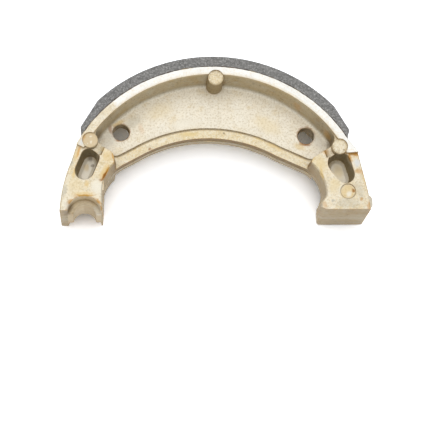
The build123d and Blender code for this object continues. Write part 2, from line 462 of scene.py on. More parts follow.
    def off_middle(self) -> Wire:
        """Distance above or below mid width."""
        return abs(self.height() - MIDDLE)

    def finish(self, inputs: dict) -> bpy.types.Material:
        """Close the tree with a Principled shader in the colour painted so far.

        Args:
            inputs: the shader's other sockets.

        Returns:
            The finished material.
        """
        inputs["Base Color"] = self.colour
        return self.output(self.node("ShaderNodeBsdfPrincipled", inputs=inputs))


def new_board(name: str, base: Any) -> Board:
    """Board of a new material with this colour under all layers."""
    return Board(bpy.data.materials.new(name), base)


@dataclass(frozen=True)
class Mark:
    """A stain or a clean patch on the casting, or a patch of painted shade or painted light.

    Args:
        name: what it is.
        at: its middle in millimetres, in part coordinates.
        size: its half sizes in millimetres.
        turn: its heading in degrees.
        tone: its colour.
        strength: how much of the skin it covers, from 0 to 1.
        soft: share of its size over which it fades.
    """

    name: str
    at: Place
    size: Place
    turn: float
    tone: Tone
    strength: float
    soft: float = 0.7


@dataclass(frozen=True)
class Blotch:
    """A tone laid on where a noise is high, or low where the span runs down.

    Args:
        tone: its colour.
        cover: how much of the skin it covers, from 0 to 1.
        span: noise values at which it starts and at which it is full.
        grain: rough size of a blotch, in millimetres.
        detail: octaves of the noise.
        roughness: strength of the finer octaves.
        wavy: whether the noise is warped.
    """

    tone: Tone
    cover: float
    span: Span
    grain: float
    detail: float = 3.0
    roughness: float = 0.55
    wavy: bool = False


@dataclass(frozen=True)
class Rounds:
    """Round features that share a radius, in millimetres.

    Args:
        radius: their radius.
        places: their axes.
    """

    radius: float
    places: tuple[Point, ...]


THIN = 1.6  # half height of a mark on the web or the lip

BOSSES = Rounds(3.0, ((-48.0, 30.8), (1.1, 56.3), (49.0, 28.1)))
WEB_HOLES = Rounds(3.25, ((-36.0, 37.2), (37.2, 35.7)))
PIN_SEAT = Rounds(6.5, ((-50.3, 2.1),))
EJECTOR_MARK = Rounds(3.0, ((51.6, 10.3),))

# Stains and clean patches, with some patches of painted shade (the marks named shade) and one of
# painted light (the pin seat's).
CASTING_MARKS = (
    Mark("lip patch, cam", (24.5, 31.0, LIP), (5.2, 1.5, THIN), -27.0, Tone.GOLD, 0.60),
    Mark("lip streak, cam", (18.0, 34.3, LIP), (3.5, 0.9, THIN), -25.0, Tone.YELLOW, 0.70),
    Mark("lip patch at the middle", (-9.0, 36.0, LIP), (5.5, 1.3, THIN), 7.0, Tone.YELLOW, 0.75),
    Mark("lip white", (-19.6, 33.3, LIP), (2.4, 1.0, THIN), 25.0, Tone.PALE, 0.70),
    Mark("lip dark speck", (4.4, 36.6, LIP), (0.7, 0.5, THIN), 0.0, Tone.UMBER, 0.60),
    Mark("lip speck", (-24.7, 29.9, LIP), (1.0, 0.8, THIN), 30.0, Tone.RUST, 0.70),
    Mark("cam hole stain", (36.6, 32.2, WEB), (3.6, 1.0, THIN), -12.0, Tone.RUST, 0.75),
    Mark("cam hole patch", (34.4, 31.4, WEB), (3.6, 2.0, THIN), -30.0, Tone.GOLD, 0.50),
    Mark("anchor hole stain", (-37.4, 41.0, WEB), (4.2, 1.3, THIN), 25.0, Tone.GOLD, 0.60),
    Mark("anchor hole side", (-40.2, 38.4, WEB), (1.0, 2.6, THIN), 10.0, Tone.RUST, 0.60),
    Mark("anchor hole foot", (-36.6, 34.1, WEB), (2.6, 0.8, THIN), 10.0, Tone.RUST, 0.50),
    Mark("web chalk by the anchor", (-40.6, 34.4, WEB), (4.8, 3.6, THIN), 60.0, Tone.CHALK, 0.55),
    Mark("web chalk by the cam", (42.0, 33.6, WEB), (5.2, 3.4, THIN), -60.0, Tone.CHALK, 0.55),
    Mark("web chalk over the hole", (-31.0, 41.4, WEB), (5.0, 2.6, THIN), 40.0, Tone.SLATE, 0.45),
    Mark("web chalk at the middle", (-11.0, 40.8, WEB), (8.0, 2.6, THIN), 8.0, Tone.PALE, 0.70),
    Mark("web warm spot", (-28.1, 38.7, WEB), (1.5, 3.4, THIN), 20.0, Tone.ORANGE, 0.24),
    Mark("web warm patch", (-20.5, 46.0, WEB), (7.5, 4.6, THIN), 20.0, Tone.YELLOW, 0.30),
    Mark("web warm patch, cam", (22.0, 40.0, WEB), (8.5, 4.2, THIN), -30.0, Tone.YELLOW, 0.34),
    Mark("anchor ridge gold", (-41.3, 24.6, BLOCK), (3.2, 3.4, 2.2), -10.0, Tone.GOLD, 0.55),
    Mark("anchor ridge edge", (-39.0, 23.8, BLOCK), (0.8, 3.8, 2.6), 14.0, Tone.OCHRE, 0.70),
    Mark("anchor edge glow", (-42.4, 18.6, BLOCK), (1.9, 4.8, 2.2), -26.0, Tone.GOLD, 0.80),
    Mark("anchor edge burn", (-41.9, 18.0, BLOCK), (1.0, 4.4, 3.0), -26.0, Tone.OCHRE, 0.95),
    Mark("anchor edge char", (-42.5, 17.0, BLOCK), (0.6, 3.0, 3.0), -24.0, Tone.RUST, 0.90),
    Mark("anchor edge char below", (-43.6, 15.1, BLOCK), (1.2, 0.6, 2.6), 0.0, Tone.RUST, 0.70),
    Mark("anchor recess shade", (-45.2, 35.2, 20.0), (3.8, 3.8, 7.0), 0.0, Tone.UMBER, 0.45),
    Mark("anchor saddle stain", (-43.4, 27.8, BLOCK), (2.2, 1.2, 3.0), -30.0, Tone.GOLD, 0.55),
    Mark("anchor outer stain", (-53.0, 25.6, BLOCK), (1.6, 4.0, 2.0), -20.0, Tone.GOLD, 0.60),
    Mark("anchor outer warm", (-52.4, 26.4, BLOCK), (0.8, 3.4, 3.0), -16.0, Tone.ORANGE, 0.70),
    Mark("anchor outer grey", (-55.2, 22.6, BLOCK), (1.6, 2.8, 2.6), -22.0, Tone.SLATE, 0.80),
    Mark("anchor side grey", (-57.8, 10.6, BLOCK), (1.2, 3.4, 2.6), -16.0, Tone.SLATE, 0.60),
    Mark("anchor pocket edge", (-54.0, 18.2, BLOCK), (0.9, 4.2, 2.6), -14.0, Tone.GOLD, 0.70),
    Mark("anchor pocket foot", (-49.4, 13.8, BLOCK), (1.2, 2.2, 2.4), 20.0, Tone.GOLD, 0.65),
    Mark("anchor yellow field", (-53.8, 13.0, BLOCK), (4.8, 5.2, 2.0), -10.0, Tone.YELLOW, 0.35),
    Mark("bore crown glow", (-50.2, 9.6, BLOCK), (6.4, 1.3, 2.6), 2.0, Tone.GOLD, 0.65),
    Mark("bore crown stain", (-50.2, 9.1, BLOCK), (5.4, 0.6, 2.6), 2.0, Tone.OCHRE, 0.75),
    Mark("bore left stain", (-56.0, 6.4, BLOCK), (0.9, 2.6, 2.6), -40.0, Tone.OCHRE, 0.65),
    Mark("bore side stain", (-44.6, 6.4, BLOCK), (0.9, 2.6, 2.6), 40.0, Tone.OCHRE, 0.65),
    Mark("anchor pad chalk", (-45.3, 12.4, BLOCK), (3.2, 4.2, 2.0), 10.0, Tone.PALE, 0.80),
    Mark("anchor foot chalk", (-57.4, 5.4, BLOCK), (1.8, 3.2, 2.0), 10.0, Tone.PALE, 0.60),
    Mark("anchor boss tan", (-47.9, 30.8, BOSS), (3.6, 3.6, 1.0), 0.0, Tone.LATTE, 0.85, 0.3),
    Mark("anchor boss fleck", (-47.4, 29.9, BOSS), (0.6, 1.1, 1.0), 20.0, Tone.PALE, 0.65),
    Mark("anchor boss fleck above", (-47.9, 32.2, BOSS), (0.8, 0.4, 1.0), 20.0, Tone.PALE, 0.60),
    Mark("anchor boss fleck aside", (-49.0, 29.4, BOSS), (0.4, 0.6, 1.0), 0.0, Tone.PALE, 0.60),
    # Painted shade on the pin seat's left side and painted light on its right side.
    Mark("pin seat shade", (-56.6, 4.8, 22.0), (2.6, 4.4, 6.0), -20.0, Tone.UMBER, 0.55),
    Mark("pin seat painted light", (-45.2, 4.2, 22.0), (2.2, 3.4, 6.0), 20.0, Tone.CHALK, 0.60),
    Mark("anchor boss side", (-50.4, 31.4, BOSS), (1.0, 2.4, 1.2), -10.0, Tone.OCHRE, 0.45),
    Mark("rim end white", (-51.3, 29.6, RIM), (1.6, 2.6, 1.0), -30.0, Tone.MACHINED, 0.90),
    Mark("rim end fleck", (50.6, 26.6, RIM), (0.7, 0.5, 1.0), 0.0, Tone.UMBER, 0.60),
    Mark("rim end fleck beyond", (53.6, 26.0, RIM), (0.9, 0.5, 1.0), 0.0, Tone.UMBER, 0.60),
    Mark("cam saddle burn", (43.9, 26.5, BLOCK - 0.6), (2.4, 2.0, 2.6), -40.0, Tone.OCHRE, 0.65),
    Mark("cam saddle shade", (46.3, 31.8, 20.0), (2.8, 2.6, 7.0), -40.0, Tone.UMBER, 0.45),
    Mark("cam top stain", (54.6, 25.2, BLOCK), (2.8, 1.1, 1.8), -8.0, Tone.OCHRE, 0.90),
    Mark("cam top burn", (53.0, 23.9, BLOCK), (0.9, 2.6, 2.4), 10.0, Tone.OCHRE, 0.80),
    Mark("cam chalk", (55.6, 21.8, BLOCK), (2.0, 2.2, 2.0), 15.0, Tone.MACHINED, 0.95),
    Mark("cam side stain", (56.3, 18.2, BLOCK), (2.4, 1.8, 2.2), -10.0, Tone.OCHRE, 0.60),
    Mark("cam side stain below", (58.0, 15.0, BLOCK), (0.9, 2.8, 2.2), 15.0, Tone.GOLD, 0.60),
    Mark("cam toe stain", (42.3, 5.0, BLOCK), (1.2, 2.0, 2.6), 20.0, Tone.OCHRE, 0.45),
    Mark("cam speck", (56.5, 7.4, BLOCK), (1.0, 0.9, 2.0), 0.0, Tone.OCHRE, 0.70),
    Mark("cam dark speck", (45.7, 6.7, BLOCK), (0.9, 0.9, 2.0), 20.0, Tone.SLATE, 0.90),
    Mark("cam stub stain", (59.6, 4.6, BLOCK), (0.9, 2.6, 2.6), 0.0, Tone.OCHRE, 0.60),
    Mark("mark field", (51.5, 10.3, BLOCK), (3.4, 3.4, 2.0), 0.0, Tone.GOLD, 0.60, 0.4),
    Mark("mark chalk", (51.9, 9.2, BLOCK), (1.6, 1.9, 2.0), -30.0, Tone.PALE, 0.85),
    Mark("mark spot", (53.5, 10.4, BLOCK), (0.7, 1.2, 2.0), 20.0, Tone.RUST, 0.85),
    Mark("cam yellow field", (46.2, 12.6, BLOCK), (3.4, 4.2, 2.0), -10.0, Tone.YELLOW, 0.45),
    Mark("cam ridge yellow", (41.4, 21.4, BLOCK), (3.4, 4.8, 2.4), 28.0, Tone.YELLOW, 0.60),
    Mark("cam ridge edge", (41.5, 15.4, BLOCK), (1.3, 6.8, 2.4), 4.0, Tone.GOLD, 0.80),
    Mark("cam ridge end", (38.6, 23.6, BLOCK), (1.2, 2.2, 2.6), -30.0, Tone.GOLD, 0.60),
    Mark("cam grey", (51.5, 5.6, BLOCK), (7.5, 2.8, 2.0), 0.0, Tone.SLATE, 0.42),
    Mark("cam side grey", (56.2, 10.6, BLOCK), (2.4, 4.4, 2.0), 10.0, Tone.SLATE, 0.42),
    Mark("anchor pocket floor", (-49.2, 21.4, POCKET), (5.0, 6.5, 1.5), -14.0, Tone.WEB, 0.95, 0.3),
    # Painted shade at the far end of the anchor pocket.
    Mark("anchor pocket shade", (-48.2, 26.0, POCKET + 0.4), (1.6, 1.8, 3.0), 0.0, Tone.UMBER, 0.55),
    Mark("anchor pocket spot", (-47.2, 23.1, POCKET), (1.0, 0.8, 1.6), 20.0, Tone.UMBER, 0.55),
    Mark("anchor pocket smear", (-49.6, 22.4, POCKET), (1.2, 2.2, 1.6), -10.0, Tone.GOLD, 0.45),
    Mark("cam pocket floor", (50.0, 19.2, POCKET), (5.5, 6.5, 1.5), 14.0, Tone.WEB, 0.80, 0.3),
    Mark("cam pocket smear", (49.4, 20.4, POCKET), (2.8, 4.4, 1.6), 14.0, Tone.YELLOW, 0.50),
    Mark("rim wall rust, cam", (44.6, 34.4, 21.0), (3.2, 2.6, 5.0), -50.0, Tone.OCHRE, 0.42),
    Mark("rim wall rust", (33.5, 46.0, 22.0), (3.2, 1.8, 4.0), -54.0, Tone.OCHRE, 0.40),
)


@dataclass(frozen=True)
class CastSkin:
    """Die-cast aluminium: a blotched cream skin, stained edges, machined rim sides, painted shade
    and a painted highlight.
    """

    name: str = "cast_skin"
    edge_round: float = 0.22
    edge_reach: float = 0.55
    rough_start: float = 130.6
    rough_end: float = 152.0
    ragged_degrees: float = 9.0
    ragged_per_degree: float = 0.14
    rough_cover: float = 0.92
    machined_band: float = 0.06
    strip_end: float = 58.1
    strip_cover: float = 0.55
    turning_lines: float = 21.0  # radians per millimetre
    metallic: float = 0.30
    machined_metallic: float = 0.25
    roughness: Span = (0.46, 0.62)
    machined_polish: float = 0.16
    rim_wall: Span = (50.5, 51.5)
    above_split: Span = (3.3, 3.9)
    back_wall_start: Span = (19.0, 23.0)
    pocket_across: Span = (44.5, 46.0)
    pocket_up: Span = (12.5, 14.0)
    pocket_outer: Span = (57.6, 57.2)
    pits: tuple[float, float, float] = (1.5, 0.20, 0.16)  # spacing, size and share
    pit_cover: float = 0.35
    ground: tuple[Blotch, ...] = (
        Blotch(Tone.TAN, 1.0, (0.38, 0.62), 16.0),
        Blotch(Tone.PALE, 0.75, (0.46, 0.70), 4.5, 4.0, 0.6, True),
        Blotch(Tone.YELLOW, 0.35, (0.56, 0.72), 7.0, wavy=True),
    )
    web_mottle: tuple[Blotch, ...] = (Blotch(Tone.TAN, 0.5, (0.50, 0.68), 5.0),)
    sand: tuple[Blotch, ...] = (
        Blotch(Tone.PALE, 0.75, (0.44, 0.62), 0.55, 2.0, 0.8),
        Blotch(Tone.OLIVE, 0.36, (0.56, 0.32), 0.75, 2.0, 0.6),
    )
    sandless_wall: float = 0.5
    wall_mottle: tuple[Blotch, ...] = (
        Blotch(Tone.OLIVE, 0.45, (0.56, 0.70), 1.3, 3.0, 0.75),
        Blotch(Tone.UMBER, 0.40, (0.46, 0.32), 1.3, 3.0, 0.75),
    )
    wall_streaks: tuple[Blotch, ...] = (Blotch(Tone.BROWN, 0.22, (0.50, 0.78), 2.6),)
    edge_stains: tuple[Blotch, ...] = (
        Blotch(Tone.OCHRE, 0.60, (0.34, 0.62), 3.4),
        Blotch(Tone.PALE, 0.40, (0.58, 0.70), 2.2, 2.0),
    )

    def material(self) -> bpy.types.Material:
        """Build the finish.

        Returns:
            The material.
        """
        coat = new_board(self.name, Tone.CREAM)
        machined = self._machined(coat)
        coat.mottle(self.ground)
        coat.over(coat.specks(*self.pits) * self.pit_cover, Tone.BROWN)
        self._web(coat)
        coat.mottle(self.sand, 1 - coat.wall * self.sandless_wall)
        self._walls(coat)
        self._edge_stains(coat)
        self._bosses(coat)
        self._bores(coat)
        for mark in CASTING_MARKS:
            coat.stain(mark)
        # Painted shade in corners and hollows.
        self._corner_shade(coat)
        coat.over(machined, self._machined_colour(coat))
        roughness = coat.noise(1.6).step(0.2, 0.8, *self.roughness)
        return coat.finish(
            {
                "Metallic": machined * self.machined_metallic + self.metallic,
                "Roughness": roughness - machined * self.machined_polish,
                "Normal": self._relief(coat, machined),
            }
        )

    def _machined(self, coat: Board) -> Wire:
        """Mask of the rim's machined sides, left as cast near the anchor end.

        Args:
            coat: the casting's board.

        Returns:
            The mask.
        """
        band = self.machined_band
        side = coat.off_middle().step(MIDDLE - 2 * band, MIDDLE - band)
        flat = coat.tilt.step(0.7, 0.9)
        ragged = (coat.noise(1.8, 3.0, 0.7) - 0.5) * self.ragged_degrees
        across, up = coat.part(coat.wavy, Axis.X), coat.part(coat.wavy, Axis.Y)
        turn = coat.node("ShaderNodeMath", {"operation": "ARCTAN2"}, {0: up, 1: across})
        angle = turn * math.degrees(1.0) + ragged
        cast = angle.step(self.rough_start - 1.0, self.rough_start + 1.6)
        cast = cast * angle.step(self.rough_end + 1.0, self.rough_end - 0.6)
        out = coat.reach() + ragged * self.ragged_per_degree
        strip = out.step(self.strip_end + 0.5, self.strip_end - 0.4)
        return side * flat * (1 - cast * self.rough_cover) * (1 - strip * self.strip_cover)

    def _web(self, coat: Board) -> None:
        """The web is paler and greyer than the blocks, the slope at its lip's foot gets painted
        shade, and its fillet by the rim wall a painted highlight.

        Args:
            coat: the casting's board.
        """
        web, lip = WEB - MIDDLE, LIP - MIDDLE
        off_middle = coat.off_middle()
        level = off_middle.step(web + 0.5, web + 0.2)
        ledge = off_middle.step(lip - 0.1, lip) * off_middle.step(lip + 0.6, lip + 0.3)
        coat.over(ledge * coat.tilt.step(0.9, 0.98) * 0.35, Tone.YELLOW)
        coat.over(level * 0.75, Tone.WEB)
        coat.mottle(self.web_mottle, level)
        slope = coat.tilt.step(0.93, 0.84) * coat.tilt.step(0.40, 0.55)
        reach = coat.reach()
        foot = off_middle.step(web + 0.05, web + 0.15) * off_middle.step(lip - 0.35, lip - 0.65)
        foot = foot * reach.step(54.0, 53.0)
        # Painted shade along the slope at the lip's foot.
        coat.darken(slope * foot, Shade.LIP_FOOT)
        # Painted highlight on the web's fillet at the foot of the rim wall.
        fillet_highlight = coat.tilt.step(0.98, 0.80) * off_middle.step(4.6, 3.8) * reach.step(53.0, 54.5)
        coat.over(fillet_highlight * 0.85, Tone.PALE)

    def _bores(self, coat: Board) -> None:
        """Painted shade on the hole walls, with rusty rims, the tan pin seat and the ejector mark's
        outline.

        Args:
            coat: the casting's board.
        """
        broken = coat.noise(1.8, 3.0, 0.7, coat.wavy).step(0.36, 0.60)
        radius = WEB_HOLES.radius
        for centre in WEB_HOLES.places:
            reach = coat.reach(centre)
            # Painted shade inside each web hole.
            coat.darken(reach.step(radius + 0.35, radius + 0.15), Shade.HOLE)
            rim = reach.step(radius + 0.1, radius + 0.3) * reach.step(radius + 1.0, radius + 0.5)
            coat.over(rim * broken * 0.50, Tone.RUST)
        radius = PIN_SEAT.radius
        reach = coat.reach(PIN_SEAT.places[0])
        coat.over(reach.step(radius + 0.15, radius) * 0.55, Tone.LATTE)
        rim = reach.step(radius, radius + 0.3) * reach.step(radius + 1.0, radius + 0.4)
        face = coat.off_middle().step(12.0, 12.3)
        coat.over(rim * face * broken * 0.75, Tone.OCHRE)
        reach = coat.reach(EJECTOR_MARK.places[0])
        rim = abs(reach - EJECTOR_MARK.radius + 0.05).step(0.32, 0.12)
        top = coat.height().step(BLOCK - 0.5, BLOCK - 0.3)
        coat.over(rim * top * 0.45, Tone.UMBER)

    def _bosses(self, coat: Board) -> None:
        """Mottled boss tops with a dark, broken rim.

        Args:
            coat: the casting's board.
        """
        radius = BOSSES.radius
        top = coat.height().step(BOSS - 0.4, BOSS - 0.1) * coat.tilt.step(0.5, 0.9)
        mottle = coat.noise(1.6, 3.0, 0.7, coat.wavy)
        for centre in BOSSES.places:
            reach = coat.reach(centre)
            disc = reach.step(radius + 0.1, radius) * top
            ring = reach.step(radius - 1.0, radius - 0.3) * disc
            coat.over(disc * mottle.step(0.50, 0.36) * 0.45, Tone.OLIVE)
            coat.over(ring * mottle.step(0.66, 0.44) * 0.60, Tone.OLIVE)

    def _walls(self, coat: Board) -> None:
        """Upright walls get painted shade and are browner, with rust runs; below mid width they get
        less of it and painted bounce light, so they are greyer.

        Args:
            coat: the casting's board.
        """
        height = coat.height()
        across = abs(coat.part(coat.place, Axis.X))
        up = coat.part(coat.place, Axis.Y)
        reach = coat.reach()
        rim = reach.step(*self.rim_wall) * up.step(*self.above_split)
        # Painted shade on upright walls, lighter on the rim's inner wall.
        coat.darken(coat.wall * (1 - rim), Shade.WALL)
        coat.darken(coat.wall * rim, Shade.RIM_WALL)
        coat.mottle(self.wall_mottle, coat.wall)
        under = height.step(MIDDLE + 0.15, MIDDLE - 0.15) * coat.wall
        boss = coat.reach(BOSSES.places[1]).step(BOSSES.radius + 0.4, BOSSES.radius + 0.2)
        # Painted shade on the middle boss's side and on the back walls, above mid width only.
        coat.darken(boss * coat.wall * (1 - under), Shade.BOSS_SIDE)
        back = (1 - under) * coat.wall * (1 - rim) * up.step(*self.back_wall_start)
        coat.darken(back, Shade.BACK_WALL)
        # Painted bounce light from the table on the walls below mid width.
        coat.over(under * 0.10, Tone.CHALK)
        pocket = coat.wall * across.step(*self.pocket_across) * up.step(*self.pocket_up)
        pocket = pocket * reach.step(*self.pocket_outer) * height.step(BLOCK - 0.2, BLOCK - 0.8)
        # Painted shade on the pocket walls.
        coat.darken(pocket, Shade.POCKET)
        crown = height.step(BLOCK - 0.3, BLOCK + 0.3) * coat.wall
        coat.over(crown * 0.45, Tone.TAN)
        coat.mottle(self.wall_streaks, coat.wall)

    def _edge_stains(self, coat: Board) -> None:
        """Oxide along the edges, which are where a widely rounded normal leaves the true one.

        Args:
            coat: the casting's board.
        """
        wide = coat.rounded(self.edge_reach, 8)
        edge = coat.vector("DOT_PRODUCT", wide, coat.normal, "Value").step(0.985, 0.86)
        coat.mottle(self.edge_stains, edge)

    def _corner_shade(self, coat: Board) -> None:
        """Painted shade: darker olive in corners, more where ambient occlusion finds the surface
        closed in.

        Args:
            coat: the casting's board.
        """
        corner = coat.close_up(1.8, samples=8).step(0.80, 0.40)
        coat.darken(corner * 0.40, Shade.CORNER)
        hollow = coat.close_up(9.0, samples=6).step(0.62, 0.16)
        coat.darken(hollow * 0.12, Shade.HOLLOW)

    def _machined_colour(self, coat: Board) -> Wire:
        """Bright machined metal with faint smudges.

        Args:
            coat: the casting's board.

        Returns:
            The colour.
        """
        smudge = coat.noise(5.0, place=coat.wavy).step(0.60, 0.78)
        colour = coat.mix(smudge * 0.35, Tone.MACHINED, Tone.TAN)
        fleck = coat.noise(0.9, 2.0, 0.8).step(0.50, 0.68)
        return coat.mix(fleck * 0.40, colour, Tone.LATTE)

    def _relief(self, coat: Board, machined: Wire) -> Wire:
        """Bumps: cast grain, shallow waves and pits, with turning lines on the rim sides.

        Args:
            coat: the casting's board.
            machined: mask of the machined sides.

        Returns:
            The bumped normal.
        """
        grain = coat.noise(0.45, 3.0, 0.6)
        wave = coat.noise(2.4, 2.0)
        pits = coat.specks(*self.pits)
        lines = (coat.reach() * self.turning_lines).sine() * machined * 0.10
        cast = (grain * 0.9 + wave * 1.6 - pits * 0.9) * (1 - machined * 0.85)
        return coat.bump(cast + lines, 0.42, 0.10, coat.rounded(self.edge_round))


@dataclass(frozen=True)
class FrictionComposite:
    """Moulded friction composite: mid grey, with pale and dark grains and painted shade where it is
    closed in.
    """

    name: str = "friction_composite"
    face_radius: float = 64.8
    edge_round: float = 0.2
    ground_cover: float = 0.7
    fibres: tuple[float, float, float] = (1.2, 0.20, 0.35)  # spacing, size and share
    fibre_cover: float = 0.55
    grains: tuple[Blotch, ...] = (
        Blotch(Tone.GREY_LIGHT, 0.85, (0.50, 0.68), 0.8, 3.0, 0.8),
        Blotch(Tone.GREY_DARK, 0.75, (0.48, 0.32), 0.8, 3.0, 0.8),
    )

    def material(self) -> bpy.types.Material:
        """Build the finish.

        Returns:
            The material.
        """
        board = new_board(self.name, Tone.GREY_DARK)
        upright = board.tilt.step(0.8, 0.3)
        ground = board.reach().step(self.face_radius - 0.08, self.face_radius - 0.02) * upright
        coarse = board.noise(1.5, 3.0, 0.6)
        fine = board.noise(0.8, 3.0, 0.8)
        board.over(coarse.step(0.35, 0.68) * 0.6 + 0.3, Tone.GREY)
        board.over(ground * self.ground_cover, Tone.GROUND)
        board.mottle(self.grains)
        fibres = board.specks(*self.fibres)
        board.over(fibres * self.fibre_cover, Tone.GREY_LIGHT)
        # Painted shade: darker where ambient occlusion finds the lining closed in, at its seam and
        # corners.
        seam = board.close_up(1.2, samples=6).step(0.80, 0.45)
        board.darken(seam * 0.5, Shade.SEAM)
        height = fine * 0.9 + coarse * 0.8 - fibres * 0.5
        return board.finish(
            {
                "Roughness": fine.step(0.2, 0.8, 0.78, 0.95),
                "Normal": board.bump(height, 0.6, 0.12, board.rounded(self.edge_round)),
                "Specular IOR Level": 0.35,
            }
        )


@dataclass(frozen=True)
class TrimFinish:
    """Finish of a thin trim piece: clouds of other tones over its own, on a rough relief.

    Args:
        name: the material's name.
        base: its own tone.
        clouds: the blotches over it, of which the first also sets the roughness.
        rough_span: noise values between which the roughness rises.
        roughness: its lowest and highest value.
        relief: grain of the bumps, in millimetres.
        strength: strength of the bumps.
        metallic: share of metal.
    """

    name: str
    base: Tone
    clouds: tuple[Blotch, ...]
    rough_span: Span
    roughness: Span
    relief: float
    strength: float
    metallic: float = 0.0
    depth: float = 0.05

    def material(self) -> bpy.types.Material:
        """Build the finish.

        Returns:
            The material.
        """
        board = new_board(self.name, self.base)
        board.mottle(self.clouds)
        cloud = board.noise(self.clouds[0].grain)
        return board.finish(
            {
                "Metallic": self.metallic,
                "Roughness": cloud.step(*self.rough_span, *self.roughness),
                "Normal": board.bump(board.noise(self.relief), self.strength, self.depth),
            }
        )


ADHESIVE_FILM = TrimFinish(
    name="adhesive_film",
    base=Tone.ADHESIVE,
    clouds=(Blotch(Tone.UMBER, 1.0, (0.4, 0.7), 2.2), Blotch(Tone.OLIVE, 0.6, (0.55, 0.7), 5.0)),
    rough_span=(0.3, 0.7),
    roughness=(0.45, 0.7),
    relief=0.3,
    strength=0.4,
)
FLASH_METAL = TrimFinish(
    name="flash_metal",
    base=Tone.TAN,
    clouds=(Blotch(Tone.BARE, 1.0, (0.42, 0.62), 3.0), Blotch(Tone.OLIVE, 0.7, (0.5, 0.66), 6.0)),
    rough_span=(0.2, 0.8),
    roughness=(0.35, 0.55),
    relief=0.4,
    strength=0.5,
    metallic=0.3,
)


def add_object(name: str, data: Any) -> bpy.types.Object:
    """New object of the scene for a mesh, a lamp or a camera.

    Args:
        name: the object's name.
        data: its mesh, lamp or camera.

    Returns:
        The object.
    """
    made = bpy.data.objects.new(name, data)
    bpy.context.scene.collection.objects.link(made)
    return made


def vertex_places(mesh: bpy.types.Mesh) -> np.ndarray:
    """A mesh's vertices, (n, 3), in metres.

    Args:
        mesh: the mesh.

    Returns:
        The vertices' places.
    """
    places = np.empty(len(mesh.vertices) * 3)
    mesh.vertices.foreach_get("co", places)
    return places.reshape(-1, 3)


def smooth_noise(count: int, waves: Sequence[Span], seed: int, closed: bool) -> np.ndarray:
    """Smooth random values along a path, as a sum of sine waves with random phases.

    Args:
        count: number of values.
        waves: pairs of cycles along the path and size.
        seed: seed of the phases.
        closed: whether the path is a loop, so that cycles are whole numbers.

    Returns:
        The values, about zero.
    """
    phases = np.random.default_rng(seed).uniform(0, 2 * math.pi, len(waves))
    run = np.linspace(0.0, 1.0, count, endpoint=not closed)
    total = np.zeros(count)
    for (cycles, size), phase in zip(waves, phases):
        turns = round(cycles) if closed else cycles
        total += size * np.sin(2 * math.pi * turns * run + phase)
    return total


def carried_profile(
    path: np.ndarray, sides: np.ndarray, ups: np.ndarray, profile: np.ndarray
) -> np.ndarray:
    """Profile carried along a path: each point is path + across * side + height * up.

    Args:
        path: points of the path, (n, 3).
        sides: unit vectors across the path, (n, 3).
        ups: unit vectors out of the surface, (n, 3).
        profile: across and height of each profile point at each path point, (n, m, 2).

    Returns:
        The grid of points, (n, m, 3).
    """
    across = profile[:, :, 0:1] * sides[:, None, :]
    height = profile[:, :, 1:2] * ups[:, None, :]
    return path[:, None, :] + across + height


def grid_mesh(
    name: str, grid: np.ndarray, loop_path: bool, loop_profile: bool
) -> bpy.types.Object:
    """Mesh of a grid of points, closed along the path, round the profile, or capped at its ends.

    Args:
        name: the object's name.
        grid: points, (n, m, 3), in millimetres.
        loop_path: whether the last row meets the first.
        loop_profile: whether the last column meets the first.

    Returns:
        The new object, with faces pointing out.
    """
    rows, columns = grid.shape[:2]
    index = np.arange(rows * columns).reshape(rows, columns)
    if loop_path:
        index = np.vstack([index, index[:1]])
    if loop_profile:
        index = np.hstack([index, index[:, :1]])
    quads = np.stack([index[:-1, :-1], index[1:, :-1], index[1:, 1:], index[:-1, 1:]], axis=-1)
    faces = quads.reshape(-1, 4).tolist()
    if loop_profile and not loop_path:
        faces.append(index[0, :-1].tolist())
        faces.append(index[-1, -2::-1].tolist())
    mesh = bpy.data.meshes.new(name)
    mesh.from_pydata((grid.reshape(-1, 3) * MM).tolist(), [], faces)
    mesh.update()
    mesh.validate()
    piece = add_object(name, mesh)
    face_outwards(piece)
    return piece


def face_outwards(piece: bpy.types.Object) -> None:
    """Turn a closed mesh's faces outwards: the signed volume of its faces must be positive.

    Args:
        piece: the object of the mesh.
    """
    mesh = piece.data
    mesh.calc_loop_triangles()
    corners = np.empty(len(mesh.loop_triangles) * 3, dtype=np.int64)
    mesh.loop_triangles.foreach_get("vertices", corners)
    first, second, third = vertex_places(mesh)[corners.reshape(-1, 3)].transpose(1, 0, 2)
    volume = np.einsum("ij,ij->i", first, np.cross(second, third)).sum()
    if volume < 0:
        mesh.flip_normals()
    mesh.shade_smooth()


def dress(piece: bpy.types.Object, material: bpy.types.Material) -> None:
    """Give a piece one material."""
    piece.data.materials.clear()
    piece.data.materials.append(material)


